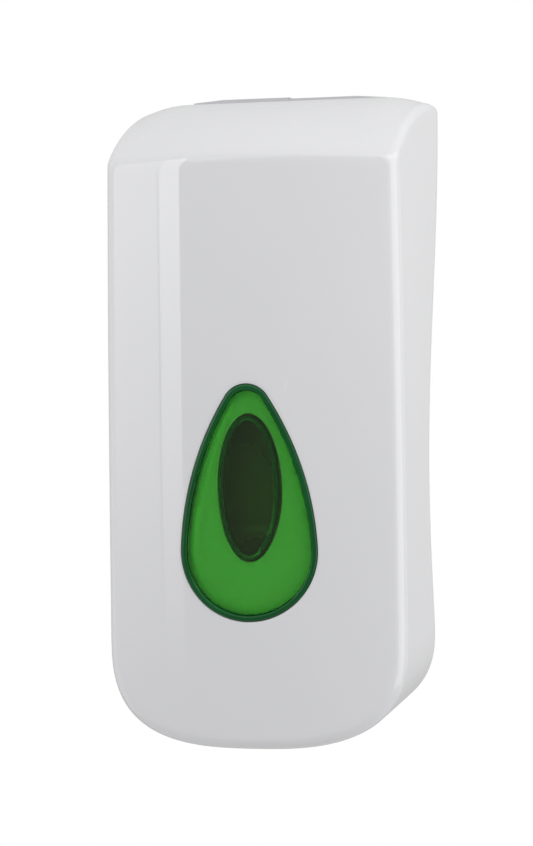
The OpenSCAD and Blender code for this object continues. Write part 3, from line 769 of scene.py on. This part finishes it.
def build_tank():
    """Blow moulded bottle: neck, shoulders, sides, outlet, and the same again on the inside."""
    top, low = tank_ring(TANK_HIGH, 0.0), tank_ring(TANK_LOW, 0.0)
    heights = tank_heights()
    rings = neck_rings(top)
    rings += [tank_detail(tank_ring(h, 0.0)) for h in heights]
    rings += outlet_rings(low)
    squeeze_in = 1 - 2 * TANK_T / (TANK_HIGH - TANK_LOW)
    for h in heights[::-1]:
        rings.append(tank_ring(TANK_LOW + TANK_T + (h - TANK_LOW) * squeeze_in, TANK_SIDE_T))
    rings.append(tank_circle(top, FILLER_Y, NECK_BORE, TANK_HIGH - TANK_T))
    return join("tank", [band("tank_shell", rings, 45)] + tank_lugs())


# ---- Pump spring ---------------------------------------------------------------------------


def build_spring():
    """Wire coil with closed end turns."""
    steps = int(COIL_TURNS * 36)
    curve = bpy.data.curves.new("spring_wire", "CURVE")
    curve.dimensions = "3D"
    curve.bevel_depth = WIRE_R * MM
    curve.bevel_resolution = 3
    curve.use_fill_caps = True
    spline = curve.splines.new("POLY")
    spline.points.add(steps)
    for i, point in enumerate(spline.points):
        turn = COIL_TURNS * i / steps
        open_coils = np.clip((turn - 0.9) / (COIL_TURNS - 1.8), 0, 1)
        along = 0.04 * i / steps + 0.96 * open_coils
        y = COIL_Y[0] + (COIL_Y[1] - COIL_Y[0]) * float(along)
        a = 2 * math.pi * turn
        z = BORE_H - SCREW_H + COIL_R * math.sin(a)
        point.co = (COIL_R * MM * math.cos(a), y * MM, z * MM, 1)
    obj = link("pump_spring_wire", mesh_of_curve(curve))
    smooth_by_angle(obj, 60)
    return obj


# ---- Materials -----------------------------------------------------------------------------


EDGE_WEAR = 0.12         # how pale rubbed edges get


class Nodes:
    """Short-hand for building a node material."""

    def __init__(self, name):
        self.mat = bpy.data.materials.new(name)
        self.mat.use_nodes = True
        self.tree = self.mat.node_tree
        self.shader = self.tree.nodes["Principled BSDF"]
        coord = self.tree.nodes.new("ShaderNodeTexCoord")
        self.place = coord.outputs["Object"]

    def node(self, kind, inputs=None, **settings):
        n = self.tree.nodes.new(kind)
        for key, value in settings.items():
            setattr(n, key, value)
        for key, value in (inputs or {}).items():
            self.give(n.inputs[key], value)
        return n

    def give(self, socket, value):
        if isinstance(value, bpy.types.NodeSocket):
            self.tree.links.new(value, socket)
        else:
            socket.default_value = value

    def set(self, **values):
        for key, value in values.items():
            self.give(self.shader.inputs[key.replace("_", " ")], value)

    def stretched(self, scale):
        return self.node("ShaderNodeMapping", {"Vector": self.place, "Scale": scale}).outputs["Vector"]

    def noise(self, scale, detail=3.0, rough=0.5, vector=None):
        n = self.node("ShaderNodeTexNoise", {"Vector": vector or self.place, "Scale": scale,
                                             "Detail": detail, "Roughness": rough})
        return n.outputs["Fac"]

    def ramp(self, fac, low, high, a, b):
        n = self.node("ShaderNodeMapRange", {"Value": fac, "From Min": low, "From Max": high,
                                             "To Min": a, "To Max": b})
        return n.outputs["Result"]

    def blend(self, fac, a, b):
        n = self.node("ShaderNodeMix", data_type="RGBA")
        self.give(n.inputs["Factor"], fac)
        self.give(n.inputs["A"], a)
        self.give(n.inputs["B"], b)
        return n.outputs["Result"]

    def bump(self, height, strength, distance, normal=None):
        inputs = {"Height": height, "Strength": strength, "Distance": distance}
        if normal is not None:
            inputs["Normal"] = normal
        return self.node("ShaderNodeBump", inputs).outputs["Normal"]

    def clouded(self, scale, detail, low, high):
        """Base colour that wanders between two tones."""
        fac = self.ramp(self.noise(scale, detail), 0.3, 0.7, 0, 1)
        self.set(Base_Color=self.blend(fac, low + (1,), high + (1,)))

    def fixed(self, **values):
        """Constant numbers on the shader's own sockets."""
        for key, value in values.items():
            self.shader.inputs[key.replace("_", " ")].default_value = value


def plastic(name, colour, rough, grain_scale, grain_depth, tone):
    """Moulded plastic: cloudy tone, fine grain or orange peel, rubbed edges, faint scuffs."""
    m = Nodes(name)
    dark = tuple(c * (1 - tone) for c in colour) + (1.0,)
    light = tuple(min(1.0, c * (1 + tone * 0.6)) for c in colour) + (1.0,)
    cloud = m.noise(14, 4)
    base = m.blend(m.ramp(cloud, 0.35, 0.65, 0, 1), dark, light)
    point = m.node("ShaderNodeNewGeometry").outputs["Pointiness"]
    rub = m.ramp(point, 0.52, 0.62, 0, EDGE_WEAR)
    pale = tuple(min(1.0, c * 1.12 + 0.02) for c in colour) + (1.0,)
    m.set(Base_Color=m.blend(rub, base, pale))
    scuff = m.ramp(m.noise(60, 5, 0.65, m.stretched((1.0, 1.0, 0.12))), 0.5, 0.75, 0, 1)
    patch = m.noise(22, 3)
    m.set(Roughness=m.ramp(m.node("ShaderNodeMath", {0: scuff, 1: patch}, operation="MULTIPLY").outputs[0],
                           0, 0.6, rough, rough + 0.12))
    m.set(Normal=m.bump(m.noise(grain_scale, 2), 0.25, grain_depth))
    m.fixed(IOR=1.52)
    return m.mat


def gloss_white():
    """Polished white ABS of the cover: barely clouded, with faint flow marks and hairline scuffs."""
    m = Nodes("cover_white")
    cloud = m.noise(9, 4)
    base = m.blend(m.ramp(cloud, 0.35, 0.65, 0, 1), (0.785, 0.787, 0.805, 1), (0.80, 0.80, 0.815, 1))
    point = m.node("ShaderNodeNewGeometry").outputs["Pointiness"]
    m.set(Base_Color=m.blend(m.ramp(point, 0.53, 0.6, 0, 0.5), base, (0.84, 0.84, 0.85, 1)))
    scuff = m.noise(55, 5, 0.65, m.stretched((1.0, 1.0, 0.1)))
    m.set(Roughness=m.ramp(scuff, 0.55, 0.8, 0.03, 0.09))
    sink = m.bump(m.noise(7, 2), 0.15, 0.0004)
    m.set(Normal=m.bump(m.noise(240, 2), 0.12, 0.000006, sink))
    m.fixed(IOR=1.52)
    return m.mat


def rubber():
    m = Nodes("rubber_dark")
    cloud = m.ramp(m.noise(40, 4), 0.35, 0.65, 0, 1)
    m.set(Base_Color=m.blend(cloud, (0.028, 0.028, 0.0304, 1), (0.04725, 0.04725, 0.0513, 1)))
    m.set(Roughness=m.ramp(m.noise(80, 4), 0.3, 0.7, 0.5, 0.72))
    m.set(Normal=m.bump(m.noise(900, 2), 0.3, 0.00008))
    return m.mat


def steel():
    m = Nodes("steel")
    lines = m.noise(240, 3, 0.6, m.stretched((0.05, 1, 1)))
    m.set(Base_Color=m.blend(lines, (0.56, 0.57, 0.58, 1), (0.72, 0.73, 0.74, 1)))
    m.fixed(Metallic=1.0)
    m.set(Roughness=m.ramp(lines, 0.3, 0.7, 0.2, 0.38))
    m.set(Normal=m.bump(lines, 0.2, 0.00003))
    return m.mat


def lens_green():
    """Clear green moulded plastic: tinted through its thickness, polished, with hairline scuffs."""
    m = Nodes("lens_green")
    m.clouded(18, 2, (0.93, 0.99, 0.92), (0.97, 1.0, 0.96))
    scuff = m.noise(90, 5, 0.6, m.stretched((1.0, 1.0, 0.15)))
    m.set(Roughness=m.ramp(scuff, 0.5, 0.85, 0.0, 0.06))
    m.set(Normal=m.bump(m.noise(160, 2), 0.05, 0.00002))
    m.fixed(Transmission_Weight=1.0, IOR=1.49, Specular_IOR_Level=0.15)
    tint = m.node("ShaderNodeVolumeAbsorption")
    tint.inputs["Color"].default_value = (0.46, 0.912, 0.35, 1)
    tint.inputs["Density"].default_value = 1010.0
    m.tree.links.new(tint.outputs["Volume"], m.tree.nodes["Material Output"].inputs["Volume"])
    return m.mat


def lens_thick_painted_shade():
    """The same green plastic where it is too thick to see through, made opaque dark green: painted shade
    in place of the darkening from light passing through thick clear plastic and from the seat's shade
    behind it.
    """
    m = Nodes("lens_thick_painted_shade")
    # painted shade: these dark greens carry the darkness of the bead and the oval ring
    m.clouded(30, 3, (0.002, 0.07, 0.014), (0.004, 0.1, 0.022))
    scuff = m.noise(90, 5, 0.6, m.stretched((1.0, 1.0, 0.15)))
    m.set(Roughness=m.ramp(scuff, 0.5, 0.85, 0.04, 0.1))
    m.set(Normal=m.bump(m.noise(200, 2), 0.08, 0.00002))
    m.fixed(IOR=1.49, Specular_IOR_Level=0.3)
    return m.mat


def tank_plastic():
    """Smoky blow moulded polypropylene, waxy and slightly see-through."""
    m = Nodes("tank_smoky")
    m.clouded(16, 4, (0.22, 0.105, 0.006), (0.29, 0.14, 0.009))
    m.set(Roughness=m.ramp(m.noise(30, 4), 0.3, 0.7, 0.2, 0.34))
    m.set(Normal=m.bump(m.noise(60, 3), 0.25, 0.0003))
    m.fixed(Transmission_Weight=0.25, IOR=1.49, Specular_IOR_Level=0.3)
    return m.mat


def silicone():
    m = Nodes("silicone_clear")
    m.set(Base_Color=m.blend(m.noise(50, 3), (0.66, 0.65, 0.6, 1), (0.78, 0.77, 0.72, 1)))
    m.set(Roughness=m.ramp(m.noise(70, 3), 0.3, 0.7, 0.32, 0.5))
    m.set(Normal=m.bump(m.noise(500, 2), 0.2, 0.00005))
    m.fixed(Subsurface_Weight=0.3, Subsurface_Radius=(0.002, 0.0015, 0.001))
    return m.mat


MATERIALS = {
    "cover_white": gloss_white(),
    "window_green": lens_green(),
    "lens_thick_painted_shade": lens_thick_painted_shade(),
    "grey_plastic": plastic("grey_plastic", (0.50, 0.495, 0.52), 0.42, 1500, 0.00012, 0.05),
    "pump_white": plastic("pump_white", (0.74, 0.74, 0.72), 0.35, 1100, 0.00006, 0.04),
    "plunger_green": plastic("plunger_green", (0.06, 0.28, 0.08), 0.32, 1100, 0.00006, 0.08),
    "tank_natural": tank_plastic(),
    "cap_grey": plastic("cap_grey", (0.26, 0.26, 0.28), 0.4, 1500, 0.00012, 0.06),
    "rubber_dark": rubber(),
    "silicone_clear": silicone(),
    "steel": steel(),
}

SLOTS = {s["node"]: s["material_slot"] for s in frame["record"]["subparts"]}


# Edge radius of each moulded piece, small enough for its thinnest wall
ROUNDING = {"backplate": 0.18, "push_frame": 0.18, "fill_cap": 0.06, "neck_collar": 0.1, "pump_body": 0.12,
            "pump_end_cap": 0.25, "nozzle": 0.25, "lock_slider": 0.25, "press_pad": 0.4,
            "cover_bumpers": 0.4, "plunger": 0.18, "pump_screws": 0.1, "inlet_valve": 0.05}


def dress_cad():
    """Procedural materials for the CAD nodes that stay."""
    for name, obj in frame["nodes"].items():
        obj.data.materials.clear()
        obj.data.materials.append(MATERIALS[SLOTS[name]])
        smooth_by_angle(obj, 30)


def rounded_copy(node, width):
    """Closed copy of a CAD node with every sharp edge rounded by width, in millimetres."""
    bm = bmesh.new()
    bm.from_mesh(frame["nodes"][node].data)
    bmesh.ops.remove_doubles(bm, verts=bm.verts, dist=1e-6)
    mesh = bpy.data.meshes.new(node)
    bm.to_mesh(mesh)
    bm.free()
    mesh.polygons.foreach_set("use_smooth", [True] * len(mesh.polygons))
    obj = link(node + "_rounded", mesh)
    flats = obj.modifiers.new("merge_flats", "DECIMATE")
    flats.decimate_type = "DISSOLVE"
    flats.angle_limit = math.radians(1)
    edges = obj.modifiers.new("round_edges", "BEVEL")
    edges.width = width * MM
    edges.segments = 2
    edges.limit_method = "ANGLE"
    edges.angle_limit = math.radians(40)
    edges.use_clamp_overlap = False
    obj.modifiers.new("shade", "WEIGHTED_NORMAL")
    split = obj.modifiers.new("split_flats", "TRIANGULATE")
    split.min_vertices = 5
    split.keep_custom_normals = True
    obj.data = evaluated_mesh(obj)
    obj.modifiers.clear()
    return obj


def round_cad():
    """Rounded copies of the moulded CAD nodes, in place of the nodes themselves."""
    bodies = frame["record"]["behaviour"]["bodies"]
    for node, width in ROUNDING.items():
        body = next(name for name, nodes in bodies.items() if node in nodes)
        add_piece(rounded_copy(node, width), body, SLOTS[node], node)


def add_piece(obj, body, slot_name, *nodes):
    """Hand a piece to its body, with its material, in place of the given CAD nodes."""
    obj.data.materials.clear()
    obj.data.materials.append(MATERIALS[slot_name])
    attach(obj, body)
    if nodes:
        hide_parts(*nodes)
    return obj


def squeeze(spring):
    """Gives the spring its own copy of its mesh."""
    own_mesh(spring)


# ---- Studio --------------------------------------------------------------------------------


# Brightness of the surround and of each light, and the point that the lights face
LEVELS = {"world": 0.305, "behind": 0.43, "below": 0.64,
          "strip": 3.15, "left": 2.25, "right": 1.75, "side": 0.45, "front": 1.33}
CENTRE = Vector((-0.031, -0.107, 0.0))


def softbox(name, az, el, distance, level, fade=None):
    """Rectangular light seen from the cover between two azimuths and two elevations, in degrees
    from straight in front. fade holds two heights between which it grows from dark to full."""
    a0, a1 = (math.radians(v) for v in az)
    e0, e1 = (math.radians(v) for v in el)
    mid_a, mid_e = (a0 + a1) / 2, (e0 + e1) / 2
    flat = math.cos(mid_e)
    towards = Vector((math.sin(mid_a) * flat, -math.cos(mid_a) * flat, math.sin(mid_e)))
    data = bpy.data.lights.new(name, "AREA")
    data.shape = "RECTANGLE"
    data.size = 2 * distance * math.tan((a1 - a0) / 2) * flat
    data.size_y = 2 * distance * math.tan((e1 - e0) / 2)
    data.energy = level * math.pi * data.size * data.size_y
    obj = link(name, data)
    obj.location = CENTRE + towards * distance
    obj.rotation_euler = towards.to_track_quat("Z", "Y").to_euler()
    obj.visible_camera = False
    if fade:
        data.use_nodes = True
        tree = data.node_tree
        place = tree.nodes.new("ShaderNodeNewGeometry")
        split = tree.nodes.new("ShaderNodeSeparateXYZ")
        grow = tree.nodes.new("ShaderNodeMapRange")
        grow.inputs["From Min"].default_value = fade[0]
        grow.inputs["From Max"].default_value = fade[1]
        tree.links.new(place.outputs["Position"], split.inputs[0])
        tree.links.new(split.outputs["Z"], grow.inputs["Value"])
        tree.links.new(grow.outputs["Result"], tree.nodes["Emission"].inputs["Strength"])


def build_floor():
    """Round pale floor with a painted glow that grows towards its rim, so its edge fades into the white
    surround.
    """
    radius, level = 1.45, -0.6
    bm = bmesh.new()
    bmesh.ops.create_circle(bm, cap_ends=True, segments=128, radius=radius)
    mesh = bpy.data.meshes.new("floor")
    bm.to_mesh(mesh)
    bm.free()
    obj = link("floor", mesh)
    obj.location = (0, 0, level)
    m = Nodes("floor_pale")
    m.set(Base_Color=m.blend(m.noise(3, 3), (0.84, 0.84, 0.85, 1), (0.88, 0.88, 0.89, 1)))
    m.set(Roughness=m.ramp(m.noise(9, 3), 0.3, 0.7, 0.6, 0.75))
    far = m.node("ShaderNodeVectorMath", {0: m.place}, operation="LENGTH").outputs["Value"]
    # painted glow: the floor emits light, faint in the middle and full white at its rim
    glow = m.ramp(far, 0.25 * radius, 0.95 * radius, 0.42, 1.0)
    m.shader.inputs["Emission Color"].default_value = (1, 1, 1, 1)
    m.set(Emission_Strength=glow)
    mesh.materials.append(m.mat)
    obj.visible_diffuse = False
    obj.visible_glossy = False


def build_world():
    """White surround; it lights the object less than it shows."""
    world = bpy.data.worlds.new("studio")
    bpy.context.scene.world = world
    world.use_nodes = True
    tree = world.node_tree
    back = tree.nodes["Background"]
    back.inputs["Color"].default_value = (1, 1, 1, 1)
    coord = tree.nodes.new("ShaderNodeTexCoord")

    def glow(towards, low, high, start, end):
        """Level that grows from start to end as the ray's share along towards goes from low to high."""
        along = tree.nodes.new("ShaderNodeVectorMath")
        along.operation = "DOT_PRODUCT"
        along.inputs[1].default_value = towards
        tree.links.new(coord.outputs["Generated"], along.inputs[0])
        level = tree.nodes.new("ShaderNodeMapRange")
        level.interpolation_type = "SMOOTHSTEP"
        for name, value in zip(("From Min", "From Max", "To Min", "To Max"), (low, high, start, end)):
            level.inputs[name].default_value = value
        tree.links.new(along.outputs["Value"], level.inputs["Value"])
        return level.outputs["Result"]

    both = tree.nodes.new("ShaderNodeMath")
    tree.links.new(glow((0, 0.55, 0.48), 0.0, 0.8, LEVELS["world"], LEVELS["world"] + LEVELS["behind"]),
                   both.inputs[0])
    tree.links.new(glow((0, 0, -1), 0.45, 0.95, 0.0, LEVELS["below"]), both.inputs[1])
    path = tree.nodes.new("ShaderNodeLightPath")
    level = tree.nodes.new("ShaderNodeMapRange")
    level.inputs["To Max"].default_value = 1.0
    tree.links.new(path.outputs["Is Camera Ray"], level.inputs["Value"])
    tree.links.new(both.outputs[0], level.inputs["To Min"])
    tree.links.new(level.outputs["Result"], back.inputs["Strength"])


# Direction from the target to the camera in degrees, distance in metres, focal length in millimetres
CAMERA_AZIMUTH = 13.24
CAMERA_ELEVATION = 1.18
CAMERA_ROLL = -0.717
CAMERA_DISTANCE = 1.0785
CAMERA_TARGET = Vector((-0.0032, -0.060, -0.0106))
CAMERA_LENS = 102.13


def build_camera():
    """Camera a little to the right of straight in front, rolled slightly."""
    a, e, r = (math.radians(v) for v in (CAMERA_AZIMUTH, CAMERA_ELEVATION, CAMERA_ROLL))
    back = Vector((math.sin(a) * math.cos(e), -math.cos(a) * math.cos(e), math.sin(e)))
    right = Vector((math.cos(a), math.sin(a), 0))
    up = back.cross(right)
    right2 = right * math.cos(r) + up * math.sin(r)
    up2 = up * math.cos(r) - right * math.sin(r)
    data = bpy.data.cameras.new("camera")
    data.lens = CAMERA_LENS
    data.sensor_width = 36
    obj = link("camera", data)
    turn = Matrix((right2, up2, back)).transposed().to_4x4()
    obj.matrix_world = Matrix.Translation(CAMERA_TARGET + back * CAMERA_DISTANCE) @ turn
    bpy.context.scene.camera = obj


def build_studio():
    """Floor, surround, camera, and softboxes: a bright strip on the left for the band of light on
    the front, and wider ones left, right and above."""
    build_floor()
    build_world()
    build_camera()
    fade = (-0.30, 0.17)
    softbox("left_strip", (-39.2, -32.5), (-22, 30), 1.2, LEVELS["strip"], fade)
    softbox("left_box", (-66.0, -39.7), (-22, 30), 1.2, LEVELS["left"], fade)
    softbox("side_box", (-112, -68), (-35, 35), 1.3, LEVELS["side"])
    softbox("right_box", (66, 110), (-25, 45), 1.2, LEVELS["right"])
    softbox("front_box", (-38, 72), (27, 64), 1.5, LEVELS["front"])
    bpy.context.scene.view_settings.view_transform = "Standard"


# ---- Assembly ------------------------------------------------------------------------------

build_studio()
dress_cad()
round_cad()
add_piece(build_cover(), "lid", "cover_white", "cover")
add_piece(build_ears(), "lid", "cover_white")
add_piece(build_guides(), "lid", "cover_white")
add_piece(build_panel(), "lid", "window_green", "window_lens")
# The bead and the oval ring wear the opaque dark green with painted shade.
add_piece(build_bead(), "lid", "window_green").data.materials[0] = MATERIALS["lens_thick_painted_shade"]
add_piece(build_oval_ring(), "lid", "window_green").data.materials[0] = MATERIALS["lens_thick_painted_shade"]
add_piece(build_tank(), "wall_unit", "tank_natural", "reservoir")
squeeze(add_piece(build_spring(), "wall_unit", "steel", "pump_spring"))
